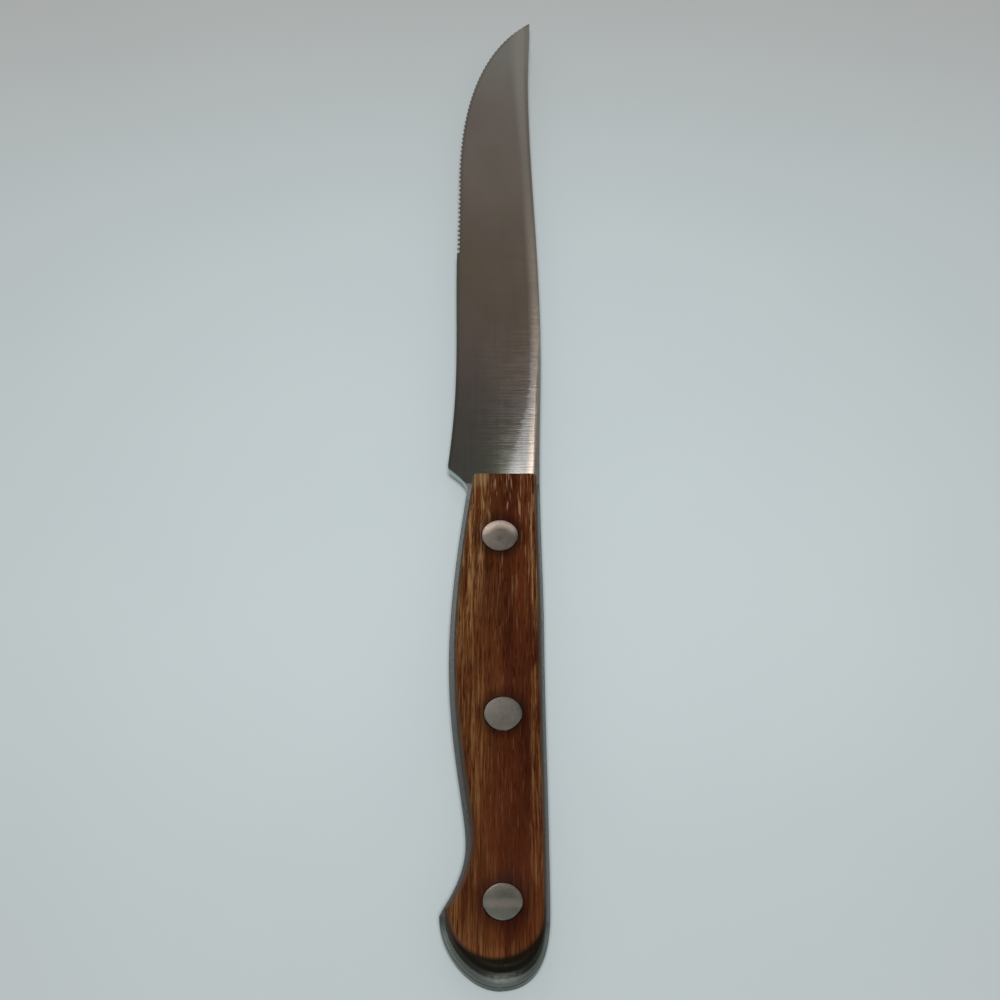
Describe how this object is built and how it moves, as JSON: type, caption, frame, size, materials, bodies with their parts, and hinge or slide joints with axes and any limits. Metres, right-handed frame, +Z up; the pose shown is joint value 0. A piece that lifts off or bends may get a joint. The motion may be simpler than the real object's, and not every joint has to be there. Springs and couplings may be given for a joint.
{
  "type": "steak knife",
  "caption": "Full-tang steak knife with a toothed, hollow-ground blade and two wooden handle scales held by two-part rivets.",
  "frame": {"origin": "centre of the knife's box, on the surface that the knife lies on", "axes": "+Y to the point, +X to the back of the blade, +Z up, out of the upper scale"},
  "size_m": [0.0196, 0.2294, 0.0106],
  "materials": {
    "steel": "ground across the blade, satin",
    "wood": "oiled, reddish brown with tan streaks",
    "rivet": "satin, lightly worn"
  },
  "bodies": {
    "root": {"blade": "steel", "upper_scale": "wood", "lower_scale": "wood", "front_rivet_tube": "rivet", "middle_rivet_tube": "rivet", "rear_rivet_tube": "rivet", "front_rivet_pin": "rivet", "middle_rivet_pin": "rivet", "rear_rivet_pin": "rivet"}
  },
  "joints": []
}
